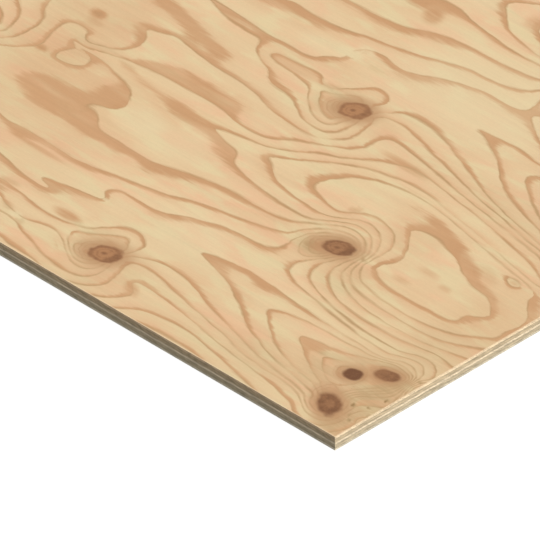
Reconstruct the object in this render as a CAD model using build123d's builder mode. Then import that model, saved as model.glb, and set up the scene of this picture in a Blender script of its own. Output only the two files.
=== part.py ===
"""A full sheet of five-ply softwood plywood, lying flat on its back veneer."""

import os

from build123d import *

# The sheet, in millimetres. X runs along the face grain, Y across it and Z up from the floor.
sheet_length = 2440.0
sheet_width = 1220.0

# Thicknesses of the veneers. The outer two and the core have their grain along the sheet, and the
# two crossbands between them, peeled thicker, have theirs across it.
face_thickness = 3.0
upper_crossband_thickness = 4.5
core_thickness = 3.0
lower_crossband_thickness = 4.5
back_thickness = 3.0

# The saw leaves square edges, and handling and sanding round off only their outer lines.
arris_radius = 0.4

# Height of each glue line, which is the lower face of the veneer above it.
lower_crossband_z = back_thickness
core_z = lower_crossband_z + lower_crossband_thickness
upper_crossband_z = core_z + core_thickness
face_z = upper_crossband_z + upper_crossband_thickness


def sawn_outline():
    """The outline that all the veneers share, because they are glued first and sawn to size together."""
    return Rectangle(sheet_length, sheet_width)


# Back veneer, with its outer edges eased on the underside
with BuildPart() as back_veneer:
    with BuildSketch(Plane.XY):
        sawn_outline()
    extrude(amount=back_thickness)
    underside = back_veneer.faces().sort_by(Axis.Z).first
    fillet(underside.edges(), radius=arris_radius)

# Lower crossband
with BuildPart() as lower_crossband:
    with BuildSketch(Plane.XY.offset(lower_crossband_z)):
        sawn_outline()
    extrude(amount=lower_crossband_thickness)

# Core veneer
with BuildPart() as core_veneer:
    with BuildSketch(Plane.XY.offset(core_z)):
        sawn_outline()
    extrude(amount=core_thickness)

# Upper crossband
with BuildPart() as upper_crossband:
    with BuildSketch(Plane.XY.offset(upper_crossband_z)):
        sawn_outline()
    extrude(amount=upper_crossband_thickness)

# Face veneer, with its outer edges eased on the top
with BuildPart() as face_veneer:
    with BuildSketch(Plane.XY.offset(face_z)):
        sawn_outline()
    extrude(amount=face_thickness)
    sanded_face = face_veneer.faces().sort_by(Axis.Z).last
    fillet(sanded_face.edges(), radius=arris_radius)

veneers = {
    "face_veneer": face_veneer,
    "upper_crossband": upper_crossband,
    "core_veneer": core_veneer,
    "lower_crossband": lower_crossband,
    "back_veneer": back_veneer,
}

os.makedirs("parts", exist_ok=True)
for name, veneer in veneers.items():
    veneer.part.label = name
    export_step(veneer.part, f"parts/{name}.step")
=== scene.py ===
"""The looks of a full sheet of pine plywood: its peeled and sanded face, its sawn edges and its back."""

import math

import bpy
import numpy as np
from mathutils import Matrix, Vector


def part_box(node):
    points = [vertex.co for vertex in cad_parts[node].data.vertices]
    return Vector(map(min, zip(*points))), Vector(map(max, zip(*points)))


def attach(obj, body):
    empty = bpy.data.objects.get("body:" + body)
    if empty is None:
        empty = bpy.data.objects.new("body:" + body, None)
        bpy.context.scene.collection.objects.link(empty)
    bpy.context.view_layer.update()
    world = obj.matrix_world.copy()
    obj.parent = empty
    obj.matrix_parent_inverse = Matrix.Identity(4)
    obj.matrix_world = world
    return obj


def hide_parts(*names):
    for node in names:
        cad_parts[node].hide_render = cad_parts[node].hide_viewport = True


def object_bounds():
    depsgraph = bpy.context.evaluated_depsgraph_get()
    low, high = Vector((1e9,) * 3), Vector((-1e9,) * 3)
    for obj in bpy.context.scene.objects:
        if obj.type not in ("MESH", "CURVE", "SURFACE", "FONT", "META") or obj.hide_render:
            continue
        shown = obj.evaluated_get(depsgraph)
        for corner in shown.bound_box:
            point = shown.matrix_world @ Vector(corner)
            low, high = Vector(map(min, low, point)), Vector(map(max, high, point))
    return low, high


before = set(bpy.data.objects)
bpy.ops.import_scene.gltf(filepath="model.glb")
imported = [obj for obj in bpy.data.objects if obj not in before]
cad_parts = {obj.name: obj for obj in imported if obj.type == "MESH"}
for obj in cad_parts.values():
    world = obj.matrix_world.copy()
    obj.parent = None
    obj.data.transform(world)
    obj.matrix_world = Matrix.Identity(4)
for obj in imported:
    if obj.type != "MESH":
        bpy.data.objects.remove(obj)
cad_low, cad_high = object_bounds()

MM = 0.001

# Places on the face are in millimetres from the near corner: u along the sheet, v across it
NEAR_CORNER = Vector((cad_high.x, cad_low.y, cad_high.z))
SHEET_LENGTH = (cad_high.x - cad_low.x) / MM
SHEET_WIDTH = (cad_high.y - cad_low.y) / MM
ARRIS = 0.4
ARRIS_TURNS = (30, 60, 90)

# Camera: a long lens, far off, so that the sheet's edges stay parallel as in the photograph
VIEW_AZIMUTH = 45.04
VIEW_ELEVATION = 35.23
VIEW_CENTRE_U = 268.2
VIEW_CENTRE_V = 169.6
SEEN_WIDTH = 583.1
LENS = 1600.0
SENSOR = 36.0

# The photograph's own view, which is parallel, with its near corner and scale in its pixels
FRAME_PIXELS = 540.0
CORNER_PIXEL = (335.0, 436.6)
PIXELS_PER_MM = 0.9285
PARALLEL_AZIMUTH = 45.0
PARALLEL_ELEVATION = 35.54

# Lights, as shares of the light that shows a colour as it is written
SUN_ON_TOP = 0.66
SUN_ON_END = 0.70
SUN_ON_SIDE = 0.0
SUN_SPREAD = 16.0
SKY = 0.34
FLOOR_COLOUR = 0.27
FLOOR_LIFT = 0.80
FLOOR_SIZE = 60.0

# The log that the face was peeled from: its girth, and how far apart two turns of the veneer count
GIRTH = 374.0
TURN_APART = 40.0
RING_REACH = 60.0
ALONG_GRAIN = 0.75
POINT_STEP = 8.0
LINE_SLACK = 0.001
HINT_SLACK = 0.004
PLACES_AT_ONCE = 4000

# Its rings where none are drawn: the middle ring of a turn, how many more a turn crosses either way as
# the log is off centre, how that changes and twists along the log, and bumps of many lengths
MIDDLE_RING = 2.2
OFF_CENTRE = 3.3
OFF_CENTRE_CHANGE = 2.0
CHANGE_LENGTH = 1290.0
OUTER_SIDE = 290.0
TWIST = 0.5
TWIST_LENGTH = 330.0
BUMP_LENGTHS = np.geomspace(170, 700, 18)
BUMP = 0.20
BUMP_SEED = 11

# Growth rings where the photograph shows them. Each row is a latewood line: its ring, from the oldest
# (-4), round the knots at the near corner, to the youngest (7), round the light island, and its points.
RINGS = [
    (-4, (87, 99), (86, 91), (80, 84), (72, 80)),
    (-3, (112, 96), (108, 100), (100, 102), (92, 106), (85, 111), (77, 114), (68, 114), (60, 110),
     (55, 102), (54, 92), (56, 82), (61, 74), (69, 69), (78, 68), (85, 71), (92, 75), (100, 81), (107, 88),
     (112, 96)),
    (-2, (20, 134), (32, 138), (45, 139), (58, 136), (70, 130), (90, 123), (100, 119), (120, 114),
     (140, 111), (152, 108), (158, 104), (152, 99), (140, 91), (120, 78), (100, 67), (84, 61), (76, 55),
     (68, 49)),
    (-2, (52, 60), (49, 70), (44, 79), (37, 88), (30, 97), (25, 106), (19, 118), (17, 127), (20, 134)),
    (-1, (68, 137), (80, 134), (100, 133), (120, 131), (140, 131), (160, 130), (180, 128), (200, 125),
     (211, 121), (217, 118), (212, 109), (200, 99), (185, 87), (165, 75), (145, 67), (115, 58), (100, 56),
     (84, 51), (72, 46)),
    (-1, (180, 497), (188, 494), (193, 487), (190, 480), (183, 474), (160, 459), (128, 441)),
    (-1, (276, 245), (273, 234), (266, 226), (257, 223), (250, 226)),
    (-1, (467, 74), (468, 66), (464, 57), (456, 49), (447, 42), (438, 37), (427, 35), (416, 38)),
    (-1, (455, 78), (447, 85), (438, 91), (428, 98), (420, 102), (413, 99), (407, 91), (403, 84)),
    (-1, (818, 309), (808, 302), (800, 294), (796, 286)),
    (-1, (462, 447), (459, 438), (450, 426), (440, 418), (430, 414), (418, 412)),
    (0, (62, 141), (80, 139), (100, 140), (120, 140), (160, 142), (200, 145), (240, 149), (280, 152),
     (320, 147), (335, 143), (342, 140), (335, 136), (318, 131), (300, 126), (280, 119), (255, 105),
     (240, 97), (220, 83), (200, 73), (180, 66), (160, 59), (140, 54), (120, 51), (100, 47), (86, 43),
     (72, 40)),
    (0, (282, 244), (281, 233), (277, 222), (268, 214), (259, 214), (251, 219)),
    (0, (813, 331), (805, 325), (797, 317), (790, 308), (787, 297), (784, 284), (786, 276)),
    (0, (205, 513), (235, 517), (262, 516), (280, 514), (294, 512), (278, 506), (258, 496), (240, 487),
     (220, 471), (200, 456), (180, 446), (150, 436), (112, 425)),
    (0, (590, 85), (560, 81), (530, 76), (500, 75), (478, 79), (460, 86), (452, 95), (445, 104), (438, 112),
     (428, 117), (418, 118), (406, 115), (396, 106), (393, 97), (396, 90)),
    (0, (568, 60), (550, 53), (520, 50), (495, 57), (475, 56), (455, 44), (445, 37), (432, 30), (420, 28),
     (409, 31), (403, 39), (401, 50)),
    (0, (404, 462), (399, 468), (397, 476), (401, 484), (410, 489), (420, 490), (430, 486), (435, 478),
     (447, 464), (455, 456), (463, 451), (472, 453), (485, 463), (520, 461), (542, 459), (550, 452),
     (536, 446), (510, 445), (490, 441), (478, 438), (465, 424), (450, 412), (438, 405), (424, 402),
     (413, 406), (408, 416)),
    (1, (620, 115), (600, 110), (575, 106), (552, 105), (543, 108), (556, 113), (565, 117), (548, 121),
     (530, 125), (510, 129), (492, 132), (486, 137), (493, 143), (496, 150), (490, 157), (478, 160),
     (450, 160), (430, 161), (415, 167), (400, 176), (380, 183), (360, 190), (335, 193), (308, 195),
     (295, 200), (289, 212), (290, 228), (287, 240), (281, 252), (270, 263), (255, 270), (242, 271),
     (232, 265), (226, 254)),
    (1, (248, 222), (254, 206), (257, 195), (254, 185), (240, 175), (220, 169), (200, 165), (160, 158),
     (120, 152), (90, 150), (68, 151), (52, 156), (36, 160), (25, 159), (15, 149), (11, 135), (12, 120),
     (9, 104), (12, 91), (24, 80), (34, 72), (37, 62)),
    (1, (540, 42), (525, 39), (512, 32), (495, 27), (470, 19), (445, 13), (425, 12), (408, 15), (398, 22),
     (394, 34), (395, 50), (398, 66), (395, 77), (386, 84), (370, 92), (350, 96), (325, 94), (300, 87),
     (270, 76), (240, 67), (210, 60), (180, 51), (160, 46), (120, 40), (95, 37), (84, 33), (74, 27),
     (62, 19), (50, 15), (38, 16), (30, 23), (27, 31), (28, 40), (31, 48), (34, 55), (37, 62)),
    (1, (668, 478), (640, 469), (600, 465), (580, 464), (572, 457), (568, 448), (553, 439), (530, 429),
     (521, 419), (505, 414), (480, 411), (460, 402), (445, 393), (425, 389), (408, 391), (398, 400),
     (394, 415), (395, 435), (393, 452), (386, 462), (372, 474), (355, 479), (335, 479), (305, 472),
     (280, 462), (240, 447), (200, 432), (160, 421), (108, 410)),
    (1, (655, 480), (620, 479), (580, 476), (550, 478), (524, 478), (512, 483), (502, 494), (490, 502)),
    (1, (485, 529), (475, 534), (460, 536), (445, 533), (425, 533), (410, 538), (390, 549), (360, 560),
     (335, 566), (300, 566), (286, 570), (281, 580), (283, 592)),
    (1, (235, 546), (255, 557), (268, 567)),
    (1, (789, 358), (785, 348), (780, 338), (771, 328), (766, 318), (765, 304), (766, 288), (769, 278),
     (776, 269)),
    (2, (665, 165), (640, 168), (600, 167), (560, 166), (535, 170), (515, 175), (480, 181), (440, 191),
     (420, 200), (385, 209), (350, 216), (318, 225), (303, 233), (297, 244), (289, 256), (275, 268),
     (260, 275), (246, 276), (233, 271), (225, 261), (222, 250), (227, 240), (233, 229), (236, 215),
     (234, 198), (224, 187), (200, 176), (160, 166), (120, 161), (80, 160), (60, 162), (46, 168), (32, 171),
     (18, 169), (6, 159), (1, 148)),
    (2, (520, 8), (500, 5), (460, 3)),
    (2, (410, 0), (396, 5), (382, 14), (375, 28), (377, 45), (382, 62), (380, 74), (365, 77), (340, 74),
     (300, 65), (260, 57), (220, 49), (190, 41), (160, 36), (120, 34), (95, 31), (80, 25), (68, 18),
     (55, 11), (42, 9), (30, 12), (24, 22), (22, 32), (23, 44), (22, 56), (13, 67), (0, 75)),
    (2, (769, 258), (762, 262), (753, 270), (746, 277), (740, 284), (738, 292), (741, 302), (745, 315),
     (748, 328), (747, 338), (741, 344), (733, 346), (722, 344), (714, 339), (710, 330), (701, 329),
     (690, 334), (676, 339), (667, 347), (661, 361), (664, 375), (673, 386), (678, 391), (664, 396),
     (645, 403), (620, 400), (580, 394), (540, 393), (510, 389), (480, 380), (450, 376), (420, 376),
     (400, 382), (385, 393), (379, 405), (379, 422), (382, 438), (387, 449), (378, 457), (355, 459),
     (320, 451), (280, 441), (240, 431), (200, 421), (160, 414), (105, 402)),
    (2, (600, 539), (570, 537), (545, 538), (520, 542), (500, 549), (470, 555), (440, 563), (415, 572),
     (380, 583), (345, 586), (312, 596), (296, 611)),
    (3, (720, 321), (690, 325), (660, 333), (625, 339), (590, 342), (550, 343), (515, 343), (490, 337),
     (465, 336), (440, 341), (420, 357), (400, 368), (380, 379), (364, 389), (356, 402), (355, 418),
     (348, 430), (330, 432), (300, 428), (260, 421), (220, 413), (180, 407), (120, 397), (85, 392)),
    (3, (700, 319), (665, 315), (635, 307), (612, 299), (599, 286), (592, 272), (600, 260), (622, 251),
     (615, 244), (600, 240), (590, 229), (575, 223), (550, 222), (505, 221), (475, 228), (440, 237),
     (410, 242), (370, 243), (340, 244), (315, 251), (298, 261), (280, 275), (265, 283), (250, 285),
     (236, 281), (224, 271), (218, 258), (220, 242), (222, 226), (216, 207), (200, 193), (180, 183),
     (150, 177), (110, 175), (70, 178), (30, 184), (0, 181)),
    (3, (370, 0), (355, 10), (345, 21), (342, 33), (350, 42), (357, 48), (345, 52), (320, 51), (280, 46),
     (240, 39), (200, 32), (160, 27), (120, 20), (85, 12), (62, 0)),
    (3, (36, 0), (26, 4), (19, 13), (16, 24), (17, 38), (15, 50), (8, 58), (0, 62)),
    (3, (575, 582), (545, 583), (510, 585), (485, 590), (455, 604), (430, 611), (390, 614), (350, 617)),
    (3, (713, 286), (700, 284), (686, 287), (677, 296), (678, 307), (690, 313), (704, 312), (712, 302),
     (713, 286)),
    (4, (500, 655), (465, 655), (440, 649), (400, 644), (370, 641), (345, 642), (332, 643)),
    (4, (50, 363), (65, 370), (100, 380), (140, 389), (180, 397), (230, 404), (275, 410), (300, 407),
     (330, 392), (360, 371), (382, 360), (400, 345), (430, 329), (465, 321), (494, 313), (470, 303),
     (448, 299), (438, 284), (420, 276), (385, 269), (335, 264), (308, 266), (290, 276), (270, 290),
     (252, 294), (236, 290), (222, 278), (214, 264), (213, 245), (210, 222), (198, 209), (180, 199),
     (150, 191), (110, 188), (60, 190), (0, 203)),
    (4, (330, 5), (318, 15), (300, 21), (265, 26), (240, 25), (200, 17), (160, 8), (125, 0)),
    (5, (45, 352), (70, 356), (100, 361), (140, 370), (200, 380), (240, 387), (275, 388), (305, 382),
     (330, 374), (350, 364), (370, 349), (390, 334), (408, 323), (417, 318), (408, 311), (395, 300),
     (375, 290), (345, 284), (302, 282), (282, 291), (265, 302), (248, 305), (230, 298), (214, 281),
     (207, 262), (208, 240), (200, 223), (180, 210), (150, 204), (100, 202), (60, 204), (30, 213), (0, 229)),
    (5, (260, 4), (240, 4), (220, 2)),
    (5, (408, 723), (422, 714), (434, 704), (436, 697), (425, 686), (412, 674), (400, 666), (385, 661),
     (365, 657), (345, 653)),
    (6, (205, 250), (199, 239), (185, 225), (160, 218), (130, 215), (100, 214), (70, 217), (42, 226),
     (22, 240), (6, 252), (8, 266), (4, 280), (6, 298), (20, 313), (31, 327), (38, 340), (60, 346),
     (100, 354), (160, 365), (200, 373), (240, 377), (275, 375), (305, 366), (327, 352), (337, 338),
     (344, 326), (346, 317), (340, 309), (322, 303), (298, 298), (282, 305), (272, 314), (258, 319),
     (240, 317), (220, 310), (205, 294), (202, 276), (205, 262)),
    (7, (212, 330), (202, 336), (180, 338), (162, 331), (140, 325), (122, 314), (105, 306), (85, 300),
     (65, 297), (47, 284), (40, 276), (48, 265), (59, 259), (58, 248), (68, 239), (95, 238), (130, 236),
     (165, 238), (182, 247), (187, 262), (181, 278), (188, 297), (202, 316), (212, 330)),
    (7, (76, 337), (68, 332), (58, 334), (56, 340), (64, 344), (73, 342), (76, 337)),
]

# Places between the lines, with the ring there first. Just under a whole number is a brown patch.
BETWEEN = [
    # Along the near edge of the sheet, from the corner outwards
    (1.35, (10, 82)), (1.3, (20, 72)), (2.45, (95, 22)), (3.45, (8, 30)), (1.5, (540, 20)),
    (0.5, (500, 40), (490, 38), (460, 28), (600, 95)), (0.45, (475, 35), (470, 32)), (0.55, (455, 24)),
    (-0.4, (560, 68)), (-0.45, (540, 66)), (-0.5, (510, 64), (495, 66), (480, 66)),
    (0.15, (500, 85), (490, 92)), (3.5, (300, 35)), (2.85, (350, 35)), (4.5, (300, 10), (250, 11)),
    # Round the knots at the corner and the two halfway along
    (-4.6, (68, 95)), (-2.8, (39, 119)), (-2.3, (47, 38)), (-2.12, (118, 104)), (-2.1, (130, 100)),
    (-2.08, (142, 101)), (-1.7, (180, 105), (438, 441)), (-1.5, (200, 112), (418, 88)),
    (-0.4, (490, 453), (425, 108), (420, 478)), (-0.5, (508, 453)), (-0.45, (527, 453)),
    (-2.6, (417, 64), (415, 441)), (-1.8, (440, 66)), (-1.4, (450, 66)), (-1.35, (433, 82)),
    (-1.3, (450, 444)), (-1.1, (425, 462), (440, 427)), (0.45, (400, 130)), (0.5, (440, 135)),
    (-1.6, (248, 249)), (-1.08, (265, 238)), (-1.05, (262, 228)), (-0.6, (277, 232), (264, 219)),
    # Between the knots, up to the light island
    (-0.5, (240, 120), (280, 135)), (-0.08, (310, 143)), (-0.05, (325, 139)), (0.5, (360, 110)),
    (-0.09, (290, 144)), (-0.1, (268, 143)), (-0.12, (248, 141)), (0.55, (360, 170)), (0.6, (300, 180)),
    (6.4, (280, 345), (300, 330), (80, 330), (20, 290)), (6.3, (320, 325)), (5.35, (380, 315)),
    (5.9, (357, 317), (12, 318), (2, 298), (8, 309)), (6.6, (160, 228), (120, 228), (80, 230)),
    (4.3, (450, 312)), (7.4, (140, 280), (100, 270)), (7.3, (60, 275), (65, 338)), (7.2, (172, 262)),
    (7.25, (170, 290), (190, 325)), (6.9, (200, 350), (180, 350), (206, 308)), (6.75, (225, 357)),
    (6.93, (150, 340), (120, 328), (100, 319)), (6.92, (213, 320)), (6.95, (110, 315)),
    (6.94, (84, 309), (60, 301)), (6.85, (235, 360)), (6.8, (215, 340)), (6.45, (262, 345)),
    (6.5, (120, 342), (25, 270)), (5.5, (0, 330)), (5.88, (20, 331)), (5.8, (28, 341)),
    # Left of the knots: a hook, a streak and the spot under it
    (0.75, (488, 146)), (0.5, (480, 145)), (0.45, (478, 136), (478, 118)), (0.55, (466, 150)),
    (0.93, (550, 118)), (0.88, (530, 118), (510, 121)), (0.6, (492, 118)), (1.4, (600, 135), (540, 145)),
    (1.55, (640, 142)), (1.93, (640, 158)), (1.75, (605, 160)), (1.7, (670, 158)),
    (2.35, (560, 190), (620, 190)),
    # The great brown patch and its arm
    (2.6, (600, 198), (560, 200), (520, 202), (700, 265), (725, 250)),
    (2.93, (580, 208), (540, 209), (620, 215), (670, 215), (635, 255), (630, 290)),
    (2.92, (560, 212), (500, 209), (690, 252), (629, 304)),
    (2.94, (650, 215), (690, 228), (700, 240), (650, 250), (605, 268), (622, 268)),
    (2.95, (650, 230), (680, 240), (670, 250), (609, 280)), (2.88, (710, 228)), (2.5, (660, 280)),
    (2.65, (670, 270)), (2.55, (735, 228), (690, 200), (700, 205)),
    # Far left: the little ring, and the arcs round a knot out of sight
    (3.15, (695, 298)), (2.45, (725, 310)), (2.4, (728, 298)), (2.3, (730, 322)),
    (2.5, (725, 280), (740, 245)), (2.35, (740, 262)), (2.6, (705, 270), (700, 275), (665, 300)),
    (1.6, (740, 360), (725, 372), (750, 372), (700, 350), (700, 370), (760, 330)),
    (1.55, (738, 387), (758, 350), (757, 300)), (1.5, (720, 390)), (1.4, (775, 350)),
    (1.65, (755, 320), (751, 298)), (1.7, (735, 354), (720, 353)), (2.9, (712, 316)),
    (2.92, (702, 316), (690, 316)), (0.5, (776, 300), (780, 320)),
    # Streaks between the great patch and the far edge
    (3.92, (460, 288)), (3.72, (490, 290)), (3.5, (520, 280), (560, 290), (560, 331)),
    (3.4, (540, 260), (600, 306)), (3.3, (560, 240)), (3.95, (510, 310), (540, 313)), (3.9, (570, 313)),
    (3.86, (600, 314)), (3.84, (620, 317)), (3.82, (640, 321)), (3.7, (665, 323)), (3.6, (600, 325)),
    (2.35, (460, 355)), (2.3, (460, 366), (560, 378), (640, 380)), (2.6, (486, 350)), (2.88, (500, 356)),
    (2.93, (518, 352), (535, 357)), (2.91, (530, 362)),
    (2.94, (552, 356), (580, 354), (600, 352), (630, 347)), (2.86, (560, 367)),
    (2.92, (645, 342), (612, 358), (596, 361)), (2.9, (578, 363)), (2.5, (620, 367)),
    (1.6, (560, 405), (560, 417), (660, 448)), (1.8, (610, 405)), (1.75, (572, 418)), (1.9, (585, 418)),
    (1.95, (600, 417), (620, 420), (650, 425), (670, 431), (685, 435), (700, 442)), (1.72, (650, 409)),
    (1.65, (668, 412)), (1.68, (685, 422)), (1.55, (620, 440)), (1.45, (580, 435)), (1.35, (600, 445)),
    (1.3, (640, 455)), (1.5, (500, 400)), (0.9, (480, 415), (500, 418)), (0.77, (600, 470)),
    (0.78, (620, 472)), (0.8, (640, 474)),
    # Along the top of the photograph
    (-0.42, (245, 503)), (-0.5, (232, 499)), (-0.55, (222, 493)), (0.6, (475, 505), (440, 510)),
    (0.55, (470, 495)), (0.7, (480, 516)), (0.8, (486, 495)), (0.45, (400, 500)), (0.5, (350, 520)),
    (1.35, (540, 500)), (1.4, (600, 500)), (1.88, (545, 530)), (1.93, (562, 530)), (1.94, (592, 527)),
    (1.92, (614, 523)), (2.4, (540, 558)),
    (2.9, (540, 578), (520, 578), (498, 580), (478, 584), (460, 594), (420, 605)), (2.92, (440, 602)),
    (2.85, (400, 608)), (3.93, (490, 635)), (3.92, (505, 630)), (3.9, (475, 640)), (5.35, (410, 698)),
    (5.88, (388, 696)), (3.4, (440, 630)), (3.5, (400, 628)),
]

# Knots that the photograph shows: u, v, half length, half width, the way that the dark tip points,
# in degrees from u towards v, and darkness, from about 0.7 to 1.6
KNOTS = [
    (412, 442, 18.5, 15, 163, 0.72),
    (414, 65, 18.5, 15, 163, 0.82),
    (244.4, 250.2, 19, 13, 163, 1.03),
    (39.5, 119, 14.7, 10.2, 160, 1.26),
    (67.8, 95.6, 11.4, 9.6, 160, 1.56),
    (47.5, 38.5, 20.5, 13, 221, 1.33),
]
# Knots of the whorls further along the log, where the photograph doesn't reach
FAR_KNOTS = [
    (872, 212, 17, 13, 165, 0.80),
    (901, 334, 13, 10, 140, 1.10),
    (1188, 108, 19, 15, 155, 0.78),
    (1326, 286, 12, 9, 170, 1.25),
    (1547, 190, 18, 15, 145, 0.75),
    (1575, 40, 15, 12, 200, 1.00),
    (1840, 330, 20, 15, 155, 0.80),
    (2078, 150, 13, 11, 150, 1.20),
    (2110, 264, 18, 14, 175, 0.85),
    (2304, 60, 17, 13, 140, 0.80),
]
# How far rings bend round the knots that aren't drawn, how knots change with each turn of the log, and
# how far from its centre a knot and its halo show, in its half sizes
KNOT_PULL = 2.6
KNOT_PULL_REACH = 1.9
KNOT_PULL_LENGTH = 0.55
KNOT_DRIFT = (4.0, 3.0)
KNOT_DRIFT_TURN = 2.4
KNOT_GROWTH = 0.05
KNOT_APART = 60.0
KNOT_SHOWS = 2.4
KNOT_BORDER = 0.45
KNOT_HALO = (1.0, 2.3)

# Wood that is browner (up to 1) or paler (down to -1) than its rings make it: u, v, half length,
# half width, the turn from u towards v in degrees, and how much
STAINS = [
    # Round the knots
    (60, 92, 62, 48, 0, 0.42), (40, 117, 30, 24, 0, 0.25), (255, 240, 34, 24, 163, 0.55),
    (430, 68, 30, 30, 163, 0.50), (430, 441, 32, 26, 163, 0.46), (390, 440, 40, 35, 0, 0.12),
    (390, 55, 36, 50, 0, 0.22), (265, 235, 14, 10, 163, 0.62), (246, 265, 16, 7, 170, 0.50),
    (15, 45, 30, 60, 0, 0.36), (8, 20, 34, 34, 0, 0.28), (47, 40, 9, 6, 221, -0.90),
    # Short brown streaks and patches
    (494, 87, 20, 7, 0, 1.00), (603, 152, 38, 4, 0, 0.55), (640, 426, 60, 8, 12, 0.45),
    (583, 87, 16, 5, -5, 0.50), (553, 55, 12, 5, 20, 0.45), (524, 43, 9, 5, 30, 0.40),
    (734, 374, 11, 8, 0, 0.90), (726, 360, 12, 7, 0, 0.35), (640, 160, 14, 9, 0, 0.60),
    (281, 312, 9, 6, 130, 0.50), (300, 409, 34, 6, 3, 0.80), (65, 338, 7, 4, 0, 0.40),
    (348, 38, 14, 8, 30, 0.55), (641, 326, 16, 4, 8, 0.50), (594, 316, 32, 3.5, 6, 0.50),
    (459, 291, 17, 9, 10, 0.40), (462, 456, 14, 4.5, 161, 0.50), (515, 455, 36, 9, 0, 0.30),
    (388, 695, 13, 12, 0, 0.50), (135, 101, 20, 7, 0, 0.55), (95, 325, 22, 11, 20, 0.40),
    (448, 513, 14, 5, 0, 0.45), (477, 627, 17, 12, 45, 0.90), (118, 323, 28, 8, 34, 0.70),
    (143, 286, 14, 4, 0, 0.42), (155, 256, 14, 3, 0, 0.50), (110, 277, 9, 5, 0, 0.42),
    (734, 286, 9, 5, 0, 0.75),
    # Wide, slightly brown ground
    (650, 220, 130, 110, 0, 0.20), (735, 350, 70, 100, 0, 0.27), (150, 440, 75, 32, 0, 0.16),
    (200, 325, 38, 32, 0, 0.20), (22, 230, 55, 130, 0, 0.24), (250, 22, 220, 45, 0, 0.12),
    (205, 210, 35, 30, 0, 0.18), (150, 60, 60, 42, 0, 0.14),
    # Pale wood
    (490, 515, 16, 10, 0, -1.00), (486, 136, 6, 5, 0, -0.95), (535, 49, 9, 6, 0, -0.95),
    (492, 290, 14, 9, 0, -0.25), (620, 471, 45, 4, 0, -0.75), (480, 530, 13, 8, 0, -0.85),
    (335, 560, 125, 85, 0, -0.75), (505, 262, 55, 30, 0, -0.50), (565, 268, 34, 24, 0, -0.70),
    (375, 160, 45, 50, 0, -0.50), (520, 505, 34, 18, 0, -0.60), (455, 690, 26, 20, 0, -0.60),
    # Dark specks and small cracks
    (27.5, 55, 2.2, 2.6, 0, 1.60), (12, 63, 2.0, 1.8, 0, 1.00), (7, 85, 1.8, 2.6, 30, 1.50),
    (6, 135, 1.6, 2.2, 0, 1.30), (11, 32, 2.0, 2.4, 0, 1.00), (17, 40, 1.4, 2.4, 0, 0.80),
    (3, 52, 1.4, 2.0, 0, 0.90), (229, 275, 8, 1.1, 225, 0.60), (213, 256, 11, 1.1, 231, 0.60),
    (209, 254, 7, 1.2, 0, 0.60),
]
STAIN_FALL = (0.5, 1.4)
KNOT_STAIN = 0.25
KNOT_STAIN_FALL = (1.0, 2.2)

# Face grid, in millimetres from the near corner: close where the rings are close, wider far off
GRID_U = [(0.0, 50), (130.0, 140), (760.0, 140), (SHEET_LENGTH, 0)]
GRID_V = [(0.0, 60), (180.0, 105), (640.0, 80), (SHEET_WIDTH, 0)]

# UV layout, as shares of a square: the top's height, the rows of the long edges and of the ends, the
# height and pitch of their strips, the length of the ends, and where the underside lies
TOP_HEIGHT = 0.93
LONG_EDGE_ROW = 0.94
END_ROW = 0.97
STRIP_HEIGHT = 0.012
STRIP_PITCH = 0.014
END_LENGTH = 0.48
UNDERSIDE_START = 0.5
UNDERSIDE_HEIGHT = 0.026


def view_axes(azimuth, elevation):
    """Directions of a view: to the right, up and back towards the camera."""
    turn, rise = math.radians(azimuth), math.radians(elevation)
    right = Vector((math.cos(turn), math.sin(turn), 0))
    back = Vector((math.sin(turn) * math.cos(rise), -math.cos(turn) * math.cos(rise), math.sin(rise)))
    return right, back.cross(right), back


def camera_place():
    back = view_axes(VIEW_AZIMUTH, VIEW_ELEVATION)[2]
    target = NEAR_CORNER + MM * Vector((-VIEW_CENTRE_U, VIEW_CENTRE_V, 0))
    return target + back * (SEEN_WIDTH * MM * LENS / SENSOR)


def put_in_scene(name, data):
    made = bpy.data.objects.new(name, data)
    bpy.context.scene.collection.objects.link(made)
    return made


def aim_camera():
    """Puts the camera where it shows what the photograph shows."""
    back = view_axes(VIEW_AZIMUTH, VIEW_ELEVATION)[2]
    data = bpy.data.cameras.new("camera")
    data.lens = LENS
    data.sensor_width = SENSOR
    camera = put_in_scene("camera", data)
    camera.location = camera_place()
    camera.rotation_euler = (-back).to_track_quat("-Z", "Y").to_euler()
    bpy.context.scene.camera = camera


def sum_of(operation):
    """A method that makes a shader node of a Value and what it is summed with."""
    return lambda self, *others: self.graph.math(operation, self, *others)


class Value:
    """What a shader node puts out. Sums with it make shader nodes in their turn."""

    __add__ = __radd__ = sum_of("ADD")
    __sub__ = sum_of("SUBTRACT")
    __mul__ = sum_of("MULTIPLY")
    __truediv__ = sum_of("DIVIDE")
    __abs__ = sum_of("ABSOLUTE")
    at_least = sum_of("MAXIMUM")
    at_most = sum_of("MINIMUM")

    def __init__(self, graph, socket):
        self.graph = graph
        self.socket = socket

    def __rsub__(self, other):
        return self.graph.math("SUBTRACT", other, self)

    def rise(self, start, end):
        """0 up to start, 1 from end on, and smooth between them. With end under start it falls."""
        made = self.graph.node("ShaderNodeMapRange")
        made.interpolation_type = "SMOOTHSTEP"
        ends = (0.0, 1.0) if start < end else (1.0, 0.0)
        return self.graph.fill(made, self, min(start, end), max(start, end), *ends)


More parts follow.
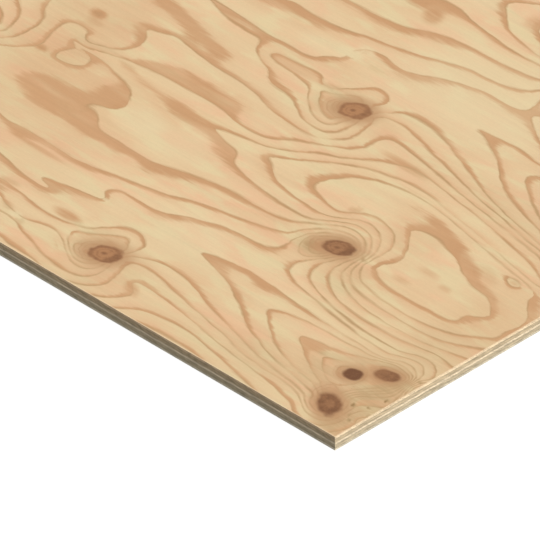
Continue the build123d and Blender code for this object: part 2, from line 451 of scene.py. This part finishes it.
class Graph:
    """One material's or world's nodes, put together as formulas."""

    def __init__(self, owner):
        self.owner = owner
        owner.use_nodes = True
        self.tree = owner.node_tree
        self.tree.nodes.clear()

    def put(self, value, socket):
        """Links a value to a socket, or writes a plain number, vector or colour into it."""
        value = getattr(value, "socket", value)
        if isinstance(value, bpy.types.NodeSocket):
            self.tree.links.new(value, socket)
        else:
            socket.default_value = value

    def node(self, kind, **inputs):
        made = self.tree.nodes.new(kind)
        for name, value in inputs.items():
            self.put(value, made.inputs[name.replace("_", " ")])
        return made

    def fill(self, node, *values, output=0):
        """Puts values into a node's inputs in their order, where they aren't None."""
        for value, socket in zip(values, node.inputs):
            if value is not None:
                self.put(value, socket)
        return Value(self, node.outputs[output])

    def output(self, kind, **inputs):
        return Value(self, self.node(kind, **inputs).outputs[0])

    def math(self, operation, *values):
        made = self.node("ShaderNodeMath")
        made.operation = operation
        return self.fill(made, *values)

    def vector(self, operation, *values):
        made = self.node("ShaderNodeVectorMath")
        made.operation = operation
        return self.fill(made, *values, output="Value" if operation == "LENGTH" else "Vector")

    def scaled(self, vector, factor):
        return self.vector("SCALE", vector, None, None, factor)

    def split(self, vector):
        """The x, y and z of a vector."""
        made = self.node("ShaderNodeSeparateXYZ", Vector=vector)
        return [Value(self, socket) for socket in made.outputs]

    def noise(self, place, detail, rough):
        """Noise about 0, mostly within half either way."""
        return self.output(
            "ShaderNodeTexNoise", Vector=place, Scale=1.0, Detail=detail, Roughness=rough) - 0.5

    def wood_noise(self, name, place):
        """One of the wood's noises, at a place in millimetres."""
        size, detail, rough = NOISES[name]
        return self.noise(self.vector("MULTIPLY", place, [1 / length for length in size]), detail, rough)

    def mix(self, share, a, b, blend="MIX"):
        made = self.node("ShaderNodeMix")
        made.data_type = "RGBA"
        made.blend_type = blend
        return self.fill(made, share, None, None, None, None, None, a, b, output=2)

    def shaded(self, base, shade):
        """A colour times a number."""
        return self.mix(1.0, base, self.scaled((1, 1, 1), shade), "MULTIPLY")

    def attribute(self, name, output="Fac"):
        made = self.node("ShaderNodeAttribute")
        made.attribute_name = name
        return Value(self, made.outputs[output])


def colour(red, green, blue):
    """A colour seen on a screen, from 0 to 255, as the linear one that shaders take."""
    shares = [value / 255 for value in (red, green, blue)]
    linear = [s / 12.92 if s <= 0.04045 else ((s + 0.055) / 1.055) ** 2.4 for s in shares]
    return (*linear, 1.0)


def light_stage():
    """A low sun on the sheet's right end and face, a pale sky, and a white floor with a soft shadow."""
    towards = Vector((SUN_ON_END, SUN_ON_SIDE, SUN_ON_TOP))
    data = bpy.data.lights.new("sun", "SUN")
    data.energy = math.pi * towards.length
    data.angle = math.radians(SUN_SPREAD)
    put_in_scene("sun", data).rotation_euler = towards.to_track_quat("Z", "Y").to_euler()

    graph = Graph(bpy.data.worlds.new("sky"))
    bpy.context.scene.world = graph.owner
    strength = direct_look(graph) * (1 - SKY) + SKY
    sky = graph.output("ShaderNodeBackground", Color=(1, 1, 1, 1), Strength=strength)
    graph.node("ShaderNodeOutputWorld", Surface=sky)

    half = FLOOR_SIZE / 2
    mesh = bpy.data.meshes.new("floor")
    corners = [(-half, -half), (half, -half), (half, half), (-half, half)]
    mesh.from_pydata([(x, y, cad_low.z) for x, y in corners], [], [(0, 1, 2, 3)])
    graph = Graph(bpy.data.materials.new("floor"))
    matt = graph.output("ShaderNodeBsdfDiffuse", Color=(FLOOR_COLOUR, FLOOR_COLOUR, FLOOR_COLOUR, 1))
    lift = graph.output("ShaderNodeEmission", Strength=direct_look(graph) * FLOOR_LIFT)
    graph.node("ShaderNodeOutputMaterial", Surface=graph.fill(graph.node("ShaderNodeAddShader"), matt, lift))
    mesh.materials.append(graph.owner)
    floor = put_in_scene("floor", mesh)


def direct_look(graph):
    """1 where the camera or a reflection looks, and 0 where light only bounces."""
    path = graph.node("ShaderNodeLightPath").outputs
    seen = graph.math("MAXIMUM", path["Is Camera Ray"], path["Is Glossy Ray"])
    return seen.at_least(path["Is Transmission Ray"])


def as_seen(u, v):
    """Where on the face the camera sees what the photograph's parallel view shows at u and v."""
    right, up, back = (np.array(axis) for axis in view_axes(PARALLEL_AZIMUTH, PARALLEL_ELEVATION))
    steps = np.stack([-u, v, 0 * u], -1)
    pixel_x = CORNER_PIXEL[0] + PIXELS_PER_MM * steps @ right
    pixel_y = CORNER_PIXEL[1] - PIXELS_PER_MM * steps @ up
    right, up, back = (np.array(axis) for axis in view_axes(VIEW_AZIMUTH, VIEW_ELEVATION))
    across = (pixel_x / FRAME_PIXELS - 0.5) * SENSOR / LENS
    above = (0.5 - pixel_y / FRAME_PIXELS) * SENSOR / LENS
    ray = across[..., None] * right + above[..., None] * up - back
    eye = np.array(camera_place() - NEAR_CORNER) / MM
    place = eye - ray * (eye[2] / ray[..., 2])[..., None]
    return -place[..., 0], place[..., 1]


def placed(rows):
    """A table's rows, with their u and v where the camera sees them."""
    u, v = as_seen(*np.array(rows, float).T[:2])
    return [(*place, *row[2:]) for *place, row in zip(u.tolist(), v.tolist(), rows)]


def smooth_line(points):
    """Evenly spaced points on a smooth curve through the given ones."""
    given = np.array(points, float)
    closed = np.allclose(given[0], given[-1])
    before = given[-2] if closed else 2 * given[0] - given[1]
    after = given[1] if closed else 2 * given[-1] - given[-2]
    given = np.vstack([before, given, after])
    found = []
    for a, b, c, d in zip(given, given[1:], given[2:], given[3:]):
        count = max(1, round(np.linalg.norm(c - b) / POINT_STEP))
        t = (np.arange(count) / count)[:, None]
        bend = 2 * a - 5 * b + 4 * c - d
        found.append(0.5 * (2 * b + (c - a) * t + bend * t**2 + (3 * b - a - 3 * c + d) * t**3))
    if not closed:
        found.append(given[-2:-1])
    return np.vstack(found)


def in_log(u, v):
    """Where points of the face lay in the log: along it, round it, and turn by turn inwards."""
    turn = 2 * np.pi * v / GIRTH
    radius = GIRTH / (2 * np.pi)
    return np.column_stack([
        ALONG_GRAIN * u,
        radius * np.cos(turn),
        radius * np.sin(turn),
        TURN_APART * v / GIRTH,
    ])


def plain_rings(u, v, knots):
    """Rings where nothing is drawn: an uneven, off-centre log cut in a spiral, and its knots."""
    crossed = OFF_CENTRE + OFF_CENTRE_CHANGE * np.cos(2 * np.pi * u / CHANGE_LENGTH)
    turn = 2 * np.pi * (v - OUTER_SIDE) / GIRTH + TWIST * np.sin(u / TWIST_LENGTH)
    rings = MIDDLE_RING + crossed * np.cos(turn)
    chance = np.random.default_rng(BUMP_SEED)
    place = in_log(u, v)
    for length in BUMP_LENGTHS:
        way = chance.normal(size=4)
        way *= 2 * np.pi / (length * np.linalg.norm(way))
        rings += BUMP * np.cos(place @ way + chance.uniform(0, 2 * np.pi))
    for knot_u, knot_v, _, width, *_ in knots[len(KNOTS):]:
        away = np.hypot(KNOT_PULL_LENGTH * (u - knot_u), v - knot_v) / (KNOT_PULL_REACH * width)
        rings -= KNOT_PULL * np.exp(-away**2)
    return rings


def likeness(a, b):
    """How alike the wood is at two sets of places in the log, from 0 to 1."""
    square = (a**2).sum(1)[:, None] + (b**2).sum(1)[None] - 2 * a @ b.T
    apart = np.sqrt(np.maximum(square, 0) * 3) / RING_REACH
    return (1 + apart) * np.exp(-apart)


def ring_field(u, v, knots):
    """The ring at each place of the face, through every drawn line and place between."""
    rows = [(*point, ring, LINE_SLACK) for ring, *line in RINGS for point in smooth_line(line)]
    rows += [(*point, ring, HINT_SLACK) for ring, *points in BETWEEN for point in points]
    drawn_u, drawn_v, ring, slack = np.array(placed(rows)).T
    drawn = in_log(drawn_u, drawn_v)
    missing = ring - plain_rings(drawn_u, drawn_v, knots)
    pull = np.linalg.solve(likeness(drawn, drawn) + np.diag(slack), missing)
    rings = plain_rings(u, v, knots)
    place = in_log(u, v)
    for start in range(0, len(u), PLACES_AT_ONCE):
        part = slice(start, start + PLACES_AT_ONCE)
        rings[part] += likeness(place[part], drawn) @ pull
    return rings


def all_knots():
    """Every knot of the face. Each comes back a little changed with every turn of the log."""
    knots = placed(KNOTS)
    drawn = [knot[:2] for knot in knots]
    drift_u, drift_v = KNOT_DRIFT
    for u, v, length, width, turn, dark in KNOTS[1:] + FAR_KNOTS:
        for count in range(int(SHEET_WIDTH // GIRTH) + 1):
            there_u = u + drift_u * math.sin(KNOT_DRIFT_TURN * count + u)
            there_v = v + (GIRTH + drift_v) * count
            apart = min(math.dist((there_u, there_v), known) for known in drawn)
            if there_v <= SHEET_WIDTH + length and apart >= KNOT_APART:
                grown = 1 + KNOT_GROWTH * count
                knots.append((there_u, there_v, length * grown, width * grown, turn, dark))
    return knots


def own_axes(u, v, centre_u, centre_v, length, width, turn):
    """Places along and across an ellipse, in its half length and half width."""
    angle = math.radians(turn)
    du, dv = u - centre_u, v - centre_v
    along = (du * math.cos(angle) + dv * math.sin(angle)) / length
    across = (dv * math.cos(angle) - du * math.sin(angle)) / width
    return along, across


def soft_fall(away, start, end):
    """1 up to start and 0 from end on, smooth between them."""
    share = np.clip((end - away) / (end - start), 0, 1)
    return share * share * (3 - 2 * share)


def knot_places(u, v, knots):
    """Places as seen from the nearest knot, in its own half sizes, with its darkness, and the halo."""
    best = np.full(len(u), np.inf)
    second = best.copy()
    own = np.zeros((len(u), 3))
    halo = np.zeros(len(u))
    for *ellipse, dark in knots:
        along, across = own_axes(u, v, *ellipse)
        away = np.hypot(along, across)
        nearer = away < best
        own[nearer] = np.column_stack([along, across, np.full(len(u), dark)])[nearer]
        second = np.where(nearer, best, np.minimum(second, away))
        best = np.minimum(best, away)
        halo = np.maximum(halo, soft_fall(away, *KNOT_HALO))
    near = (best < KNOT_SHOWS) & (second - best > KNOT_BORDER)
    return own, near, halo


def stained(u, v, knots):
    """How much browner or paler the wood is than its rings make it."""
    stain = np.zeros(len(u))
    for *ellipse, much in placed(STAINS):
        stain += much * soft_fall(np.hypot(*own_axes(u, v, *ellipse)), *STAIN_FALL)
    for *ellipse, _ in knots[len(KNOTS):]:
        stain += KNOT_STAIN * soft_fall(np.hypot(*own_axes(u, v, *ellipse)), *KNOT_STAIN_FALL)
    return np.clip(stain, -1, 2)


def grid_lines(stops):
    """Places of the grid's lines, from (start, number of cells) stops, with the arris left over."""
    lines = []
    for (start, cells), (end, _) in zip(stops, stops[1:]):
        lines += list(start + (end - start) * np.arange(cells) / cells)
    lines.append(stops[-1][0])
    lines[0] += ARRIS
    lines[-1] -= ARRIS
    return np.array(lines)


def make_face():
    """The face veneer: the CAD's plate with its eased edges, and a grid on top that carries the rings."""
    low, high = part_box("face_veneer")
    lines_u, lines_v = grid_lines(GRID_U), grid_lines(GRID_V)
    count_u, count_v = len(lines_u), len(lines_v)
    u, v = (grid.ravel() for grid in np.meshgrid(lines_u, lines_v, indexing="ij"))
    knots = all_knots()
    rings = ring_field(u, v, knots)
    own, near, halo = knot_places(u, v, knots)
    table = rings.reshape(count_u, count_v)
    slope = np.hypot(np.gradient(table, lines_u, axis=0), np.gradient(table, lines_v, axis=1)).ravel()

    index = np.arange(count_u * count_v).reshape(count_u, count_v)
    quads = np.stack([index[:-1, :-1], index[:-1, 1:], index[1:, 1:], index[1:, :-1]], -1).reshape(-1, 4)
    rim = np.concatenate([index[:-1, 0], index[-1, :-1], index[:0:-1, -1], index[0, :0:-1]])

    # Loops of the rim, down round the arris and then down the sawn edges to the veneer's underside
    loops = []
    for turn in map(math.radians, ARRIS_TURNS):
        loops.append((ARRIS * (1 - math.sin(turn)), ARRIS * (1 - math.cos(turn))))
    loops.append((0.0, (high.z - low.z) / MM))
    points = [np.column_stack([u, v, np.zeros(len(u))])]
    source = [np.arange(len(u))]
    faces = [quads]
    last = rim
    for inset, depth in loops:
        loop_u, loop_v = u[rim].copy(), v[rim].copy()
        loop_u[loop_u <= ARRIS] = inset
        loop_u[loop_u >= SHEET_LENGTH - ARRIS] = SHEET_LENGTH - inset
        loop_v[loop_v <= ARRIS] = inset
        loop_v[loop_v >= SHEET_WIDTH - ARRIS] = SHEET_WIDTH - inset
        new = sum(map(len, points)) + np.arange(len(rim))
        points.append(np.column_stack([loop_u, loop_v, np.full(len(rim), -depth)]))
        source.append(rim)
        faces.append(np.stack([last, np.roll(last, -1), np.roll(new, -1), new], -1))
        last = new
    source = np.concatenate(source)
    place = np.array(NEAR_CORNER) + MM * np.vstack(points) * (-1, 1, 1)

    mesh = bpy.data.meshes.new("face_veneer_peeled")
    polygons = [tuple(map(int, face)) for group in faces for face in group]
    polygons.append(tuple(map(int, last[::-1])))
    mesh.from_pydata(place.tolist(), [], polygons)
    stain = stained(u, v, knots)
    numbers = {"rings": rings, "slope": slope, "stain": stain, "knot_near": near, "knot_halo": halo}
    for name, values in numbers.items():
        attribute = mesh.attributes.new(name, "FLOAT", "POINT")
        attribute.data.foreach_set("value", values[source].astype(np.float32))
    attribute = mesh.attributes.new("knot", "FLOAT_VECTOR", "POINT")
    attribute.data.foreach_set("vector", own[source].astype(np.float32).ravel())

    wall = np.zeros(len(polygons), np.int32)
    wall[-1 - len(rim):] = 1
    mesh.materials.append(face_material())
    mesh.materials.append(veneer_edge("face_veneer"))
    mesh.polygons.foreach_set("material_index", wall)
    lay_out(mesh, wall)
    mesh.update()
    piece = put_in_scene("face_veneer_peeled", mesh)
    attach(piece, "root")
    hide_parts("face_veneer")


def values_of(parts, name, width=1, kind=np.float32):
    """One property of all the corners, points or faces of a mesh."""
    values = np.zeros(len(parts) * width, kind)
    parts.foreach_get(name, values)
    return values.reshape(-1, width) if width > 1 else values


def lay_out(mesh, wall):
    """A UV layout that gives the top nearly all of a square, so that fine rings keep their detail."""
    owner = values_of(mesh.loops, "vertex_index", kind=np.int32)
    starts = values_of(mesh.polygons, "loop_start", kind=np.int32)
    polygon = np.searchsorted(starts, np.arange(len(owner)), side="right") - 1
    place = values_of(mesh.vertices, "co", 3)[owner]
    normal = values_of(mesh.polygons, "normal", 3)[polygon]
    low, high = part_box("face_veneer")
    x, y, z = ((place - np.array(low)) / np.array(high - low)).T
    strip = STRIP_HEIGHT * z
    side = wall[polygon] == 1
    end = side & (np.abs(normal[:, 0]) > 0.5)
    long_edge = side & (np.abs(normal[:, 1]) > 0.5)
    under = side & ~long_edge & ~end
    layout = np.column_stack([x, TOP_HEIGHT * y])
    rows = [
        (long_edge, x, LONG_EDGE_ROW + strip + STRIP_PITCH * (y > 0.5)),
        (end, END_LENGTH * y, END_ROW + strip + STRIP_PITCH * (x > 0.5)),
        (under, UNDERSIDE_START + (1 - UNDERSIDE_START) * x, END_ROW + UNDERSIDE_HEIGHT * y),
    ]
    for chosen, across, up in rows:
        layout[chosen] = np.column_stack([across, up])[chosen]
    layer = mesh.uv_layers.new(name="OFBake")
    layer.data.foreach_set("uv", layout.astype(np.float32).ravel())


# Noises in the wood: the size of their spots along the sheet, across it and up, in millimetres, their
# detail and their roughness
NOISES = {
    "waver": ((26, 9, 9), 3.0, 0.5),
    "feather": ((45, 4, 4), 3.0, 0.6),
    "fibre": ((70, 1.3, 1.3), 4.0, 0.6),
    "streak": ((240, 7, 7), 2.0, 0.5),
    "line_width": ((130, 26, 26), 3.0, 0.5),
    "line_strength": ((80, 14, 14), 3.0, 0.5),
    "patch_strength": ((110, 22, 22), 3.0, 0.5),
    "warmth": ((300, 60, 60), 2.0, 0.5),
    "blush": ((90, 36, 36), 3.0, 0.5),
    "sap": ((60, 20, 20), 3.0, 0.5),
    "pore": ((4, 1.5, 1.5), 2.0, 0.5),
    "knot_outline": ((14, 11, 11), 1.6, 0.5),
    "knot_tone": ((6, 5, 5), 3.0, 0.5),
    "edge_patch": ((34, 34, 5), 3.0, 0.5),
    "back_swell": ((620, 150, 150), 1.0, 0.5),
    "back_waver": ((40, 12, 12), 3.0, 0.5),
}

EARLY = colour(229, 201, 157)
EARLY_WARM = colour(221, 181, 138)
PALE = colour(229, 208, 164)
BLUSH = colour(232, 185, 145)
SAP = colour(226, 205, 159)
LATE_LINE = colour(188, 148, 104)
DENSE_LINE = colour(187, 152, 108)
LATE_PATCH = colour(201, 154, 110)
DENSE_GROUND = colour(187, 156, 112)
HALO = colour(186, 141, 100)
KNOT_WOOD = colour(174, 124, 82)
KNOT_RIM = colour(108, 66, 33)
SPECK = colour(140, 112, 66)
# Colour of the painted highlight along the top's edges
ARRIS_HIGHLIGHT_COLOUR = colour(238, 214, 178)

# Relief of the face, the sawn edges and the back, in millimetres, and how rough sawn wood is
FACE_RELIEF = 0.05
EDGE_RELIEF = 0.02
BACK_RELIEF = 0.03
SAWN_ROUGH = 0.75
SHINE = 0.3

# Ring lines: how far two noises shift them from their smooth course and how far they fade before and
# after their place, in millimetres, how narrow and how strong they are, as a noise's share and the usual
# value, and the least slope that counts, in rings a millimetre
WAVER = 3.5
FEATHER = 1.0
FADE_BEFORE = (2.8, 0.0)
FADE_AFTER = (2.9, 0.2)
NARROWNESS = (3.2, 1.12)
NARROWER_IN_BROWN = 0.9
LEAST_NARROWNESS = 0.75
LINE_STRENGTH = (2.6, 0.56)
LEAST_SLOPE = 0.004
# Brown patches: the last part of a ring, some millimetres clear of the line before it, where rings lie
# wide apart, and their strength
PATCH_PART = (0.74, 0.92)
PATCH_FEATHER = 0.28
PATCH_AFTER = (0.0, 2.4)
PATCH_SLOPES = (0.085, 0.05)
PATCH_STRENGTH = (2.2, 1.0)
# Where the ground is warmer, and where close rings turn browns and lines duller: parts of a ring, and
# slopes, in rings a millimetre
WARM_PART = (0.3, 0.95)
WARM_SLOPES = (0.03, 0.12)
DULL_GROUND = (0.03, 0.075)
DULL_LINES = (0.05, 0.11)
BLUSH_SPOTS = (-0.03, 0.18)
SAP_SPOTS = (-0.03, 0.17)
# A painted highlight along the sheet's edges, where the arris catches light: how far from them it fades, in
# millimetres, and its strength
ARRIS_HIGHLIGHT_STRIP = (1.7, 0.9)
ARRIS_HIGHLIGHT_STRENGTH = 0.5


def finish_shader(graph, base, rough, height, depth):
    """Ends a wood material: its colour, how rough it is and how deep its relief is, in millimetres."""
    bump = graph.output("ShaderNodeBump", Strength=1.0, Distance=depth * MM, Height=height)
    shader = graph.node("ShaderNodeBsdfPrincipled", Base_Color=base, Roughness=rough, Normal=bump)
    shader.inputs["Specular IOR Level"].default_value = SHINE
    graph.node("ShaderNodeOutputMaterial", Surface=shader.outputs[0])
    return graph.owner


def place_in_mm(graph):
    return graph.scaled(graph.node("ShaderNodeTexCoord").outputs["Object"], 1 / MM)


def face_material():
    """The sanded face: ring lines, brown patches and stains in pale wood, with the knots over them."""
    graph = Graph(bpy.data.materials.new("peeled_pine"))
    place = place_in_mm(graph)
    noise = {name: graph.wood_noise(name, place) for name in (
        "waver", "feather", "fibre", "streak", "line_width", "line_strength", "patch_strength", "warmth",
        "blush", "sap", "pore")}
    feather, fibre = noise["feather"], noise["fibre"]

    slope = graph.attribute("slope").at_least(LEAST_SLOPE)
    shift = noise["waver"] * WAVER + feather * FEATHER
    rings = graph.attribute("rings") + shift * slope
    part = graph.math("FRACT", rings)
    before = (1.0 - part) / slope
    after = part / slope

    stain = graph.attribute("stain")
    pale = stain.at_most(0.0)
    brown = stain.at_least(0.0).at_most(1.0)
    narrow = noise["line_width"] * NARROWNESS[0] + NARROWNESS[1] + brown * NARROWER_IN_BROWN
    narrow = narrow.at_least(LEAST_NARROWNESS)
    line = (before * narrow).rise(*FADE_BEFORE).at_least((after * narrow).rise(*FADE_AFTER))
    line = line * (noise["line_strength"] * LINE_STRENGTH[0] + LINE_STRENGTH[1]).at_most(1.0)
    patch = (part + feather * PATCH_FEATHER).rise(*PATCH_PART)
    patch = patch * after.rise(*PATCH_AFTER) * slope.rise(*PATCH_SLOPES)
    patch = patch * (noise["patch_strength"] * PATCH_STRENGTH[0] + PATCH_STRENGTH[1]).at_most(1.0)
    patch = patch * (1.0 - brown * 0.6)

    brown = brown * (feather * 1.2 + 0.95)
    paleness = pale * pale
    kept = 1.0 - paleness * paleness
    line = line * kept
    patch = patch * kept

    warm = part.rise(*WARM_PART) * 0.5 + (noise["warmth"] * 1.4 + 0.2)
    warm = warm + slope.rise(*WARM_SLOPES) * 0.3
    wood = graph.mix(warm, EARLY, EARLY_WARM)
    wood = graph.mix(noise["blush"].rise(*BLUSH_SPOTS) * 0.65, wood, BLUSH)
    wood = graph.mix(noise["sap"].rise(*SAP_SPOTS) * 0.75, wood, SAP)
    wood = graph.mix(pale * -0.8, wood, PALE)
    wood = graph.mix(brown, wood, graph.mix(slope.rise(*DULL_GROUND), LATE_PATCH, DENSE_GROUND))
    wood = graph.mix(patch, wood, LATE_PATCH)
    dull = (slope + brown * 0.12).rise(*DULL_LINES)
    wood = graph.mix(line, wood, graph.mix(dull, LATE_LINE, DENSE_LINE))
    wood = graph.mix(stain - 1.0, wood, SPECK)
    wood = graph.shaded(wood, 1.0 + noise["pore"] * 0.10 + (fibre * 0.12 + noise["streak"] * 0.10))

    base, knot = add_knots(graph, place, wood, pale)
    x, y, _ = graph.split(graph.vector("ABSOLUTE", place))
    # Painted highlight: the face turns light cream within a millimetre or so of the sheet's edges, where the
    # arris catches light
    to_side = (SHEET_LENGTH / 2 - x).at_most(SHEET_WIDTH / 2 - y)
    base = graph.mix(to_side.rise(*ARRIS_HIGHLIGHT_STRIP) * ARRIS_HIGHLIGHT_STRENGTH, base, ARRIS_HIGHLIGHT_COLOUR)
    height = line.at_least(patch) * 0.5 + fibre * 0.8 + knot * 0.4
    rough = 0.62 - knot * 0.12 + fibre * 0.15
    return finish_shader(graph, base, rough, height, FACE_RELIEF)


# Knots, with lengths as shares of their half sizes: the darkness that changes nothing, what counts as a
# dark knot, where light and dark ones end, where the halo ends, how far it and the pith lie away from the
# tip, how close the halo's arcs are, and where the tip, the rim, the ring inside and the pith are dark
EVEN_DARKNESS = 0.78
DARK_KNOTS = (0.22, 0.32)
LIGHT_KNOT_END = (1.16, 0.90)
DARK_KNOT_END = (1.24, 0.8)
HALO_END = (1.9, 1.1)
HALO_SIDE = (0.45, 0, 0)
PITH_SIDE = (0.12, 0, 0)
HALO_ARCS = 21.0
TIP_ALONG = (0.1, 0.6)
TIP_AWAY = (0.3, 0.6)
RIM_AWAY = (0.58, 0.85)
INNER_RING = 0.5
INNER_RING_FALL = (0.13, 0.0)
PITH_FALL = (0.3, 0.02)
# How fine the spokes round the pith are
SPOKES = (2.6, 2.6, 0)


def add_knots(graph, place, wood, pale):
    """The knots over the clear wood, and where they are, from 0 to 1."""
    local = graph.attribute("knot", "Vector")
    along, across, dark = graph.split(local)
    flat = graph.vector("MULTIPLY", local, (1, 1, 0))
    ragged = graph.wood_noise("knot_outline", place) * 0.6
    away = graph.vector("LENGTH", flat) + ragged
    near = graph.attribute("knot_near").rise(0.3, 1.0)
    behind = graph.vector("LENGTH", graph.vector("ADD", flat, HALO_SIDE)) + ragged
    arcs = graph.math("SINE", behind * HALO_ARCS).rise(0.2, 1.0)
    halo = behind.rise(*HALO_END) * (0.45 + arcs * 0.3)
    halo = (halo * near).at_least(graph.attribute("knot_halo") * (0.8 + ragged))
    darkness = dark - EVEN_DARKNESS
    is_dark = darkness.rise(*DARK_KNOTS)
    core = away.rise(*LIGHT_KNOT_END) * (1.0 - is_dark) + away.rise(*DARK_KNOT_END) * is_dark
    core = core * near

    # Dark parts inside a knot: the tip, the rim, one of its rings and the pith, all weak in a dark one
    tip = (along + across * 0.3).rise(*TIP_ALONG) * away.rise(*TIP_AWAY) * (0.55 - is_dark * 0.4)
    rim = away.rise(*RIM_AWAY) * (0.42 - is_dark * 0.42)
    ring = abs(away - INNER_RING).rise(*INNER_RING_FALL) * (0.22 - is_dark * 0.18)
    pith = graph.vector("LENGTH", graph.vector("ADD", flat, PITH_SIDE)).rise(*PITH_FALL)
    pith = pith * (0.7 - is_dark * 0.7)
    dark = tip.at_least(rim).at_least(ring.at_least(pith))
    spokes = graph.vector("MULTIPLY", graph.vector("NORMALIZE", flat), SPOKES)
    spokes = graph.noise(graph.vector("ADD", spokes, graph.scaled((0, 0, 1), away)), 3.0, 0.6)
    dark = dark + spokes * 0.55 + graph.wood_noise("knot_tone", place) * 0.6
    dark = dark + darkness * 1.25 + pale * 0.4
    inner = graph.mix(dark, KNOT_WOOD, KNOT_RIM)
    return graph.mix(core, graph.mix(halo, wood, HALO), inner), core


# Sawn edges of each veneer: colour where the grain is cut across, colour where it is cut along, and
# whether the grain runs along the sheet
EDGES = {
    "face_veneer": (colour(241, 216, 178), colour(217, 190, 153), True),
    "upper_crossband": (colour(190, 167, 133), colour(199, 178, 144), False),
    "core_veneer": (colour(238, 217, 183), colour(226, 208, 177), True),
    "lower_crossband": (colour(189, 172, 141), colour(199, 181, 149), False),
    "back_veneer": (colour(211, 198, 171), colour(225, 213, 187), True),
}
GLUE_LINE = 0.12
GLUE_DARK = 0.45
NO_GLUE = 99.0
# Streaks and checks in them: length and height in millimetres, lean, detail and roughness
STREAK = (17, 2.6)
STREAK_CLIMB = 0.09
CHECK = (4, 5)
CHECK_LEAN = 1.2
SAWN_NOISE = (4.0, 0.75)
SAWN_CONTRAST = 2.1


def veneer_edge(node):
    """A veneer's sawn edges: short dark pores and checks across the grain, long streaks along it."""
    graph = Graph(bpy.data.materials.new(node + "_edge"))
    base, height = edge_wood(graph, place_in_mm(graph), node)
    return finish_shader(graph, base, SAWN_ROUGH, height, EDGE_RELIEF)


def true_normal(graph):
    return graph.split(graph.node("ShaderNodeNewGeometry").outputs["True Normal"])


def edge_wood(graph, place, node):
    """The colour of a veneer's sawn edges and the height of their grain."""
    across, along, lengthwise = EDGES[node]
    on_end = graph.math("GREATER_THAN", abs(true_normal(graph)[0]), 0.5)
    cut_across = on_end if lengthwise else 1.0 - on_end
    x, y, height = graph.split(place)
    run = x + y
    climbing = height + run * STREAK_CLIMB
    streak = graph.output("ShaderNodeCombineXYZ", X=run * (1 / STREAK[0]), Y=climbing * (1 / STREAK[1]))
    leaning = run + height * CHECK_LEAN
    check = graph.output("ShaderNodeCombineXYZ", X=leaning * (1 / CHECK[0]), Y=height * (1 / CHECK[1]))
    streak, check = graph.noise(streak, *SAWN_NOISE), graph.noise(check, *SAWN_NOISE)

    wood = graph.mix(cut_across, along, across)
    grain = streak * (1.0 - cut_across * 0.3) + check * (0.15 + cut_across * 0.6)
    shade = 1.0 + (grain * SAWN_CONTRAST + graph.wood_noise("edge_patch", place) * 0.3)
    low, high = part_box(node)
    bottom = low.z / MM if node != "back_veneer" else -NO_GLUE
    top = high.z / MM if node != "face_veneer" else NO_GLUE
    glue = (height - bottom).at_most(top - height).rise(2 * GLUE_LINE, GLUE_LINE)
    return graph.shaded(wood, shade * (1.0 - glue * GLUE_DARK)), grain


# Figure of the back: rings a millimetre across the sheet, how much the two noises move them, in rings,
# and the parts of a ring in which its latewood begins and ends
BACK_RINGS = 0.012
BACK_SWELL = 22.0
BACK_WAVER = 0.22
BACK_LATE = (0.45, 0.93)
BACK_LATE_END = (1.0, 0.95)


def back_material():
    """The back veneer: edges as on the others, and a plain, unsanded figure below."""
    graph = Graph(bpy.data.materials.new("back_pine"))
    place = place_in_mm(graph)
    edges, edge_height = edge_wood(graph, place, "back_veneer")
    swell, waver = graph.wood_noise("back_swell", place), graph.wood_noise("back_waver", place)
    rings = graph.split(place)[1] * BACK_RINGS + swell * BACK_SWELL + waver * BACK_WAVER
    part = graph.math("FRACT", rings)
    late = part.rise(*BACK_LATE) * part.rise(*BACK_LATE_END)
    fibre = graph.wood_noise("fibre", place)
    wood = graph.shaded(graph.mix(late * 0.85, EARLY, LATE_PATCH), 0.96 + fibre * 0.22)
    below = true_normal(graph)[2].rise(-0.5, -0.9)
    height = edge_height * (1.0 - below) + fibre * below
    return finish_shader(graph, graph.mix(below, edges, wood), SAWN_ROUGH, height, BACK_RELIEF)


def dress_edges():
    """Materials for the veneers whose CAD shape is already right."""
    for name in ("upper_crossband", "core_veneer", "lower_crossband", "back_veneer"):
        material = back_material() if name == "back_veneer" else veneer_edge(name)
        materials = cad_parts[name].data.materials
        if materials:
            materials[0] = material
        else:
            materials.append(material)


bpy.context.scene.view_settings.view_transform = "Standard"
aim_camera()
light_stage()
make_face()
dress_edges()
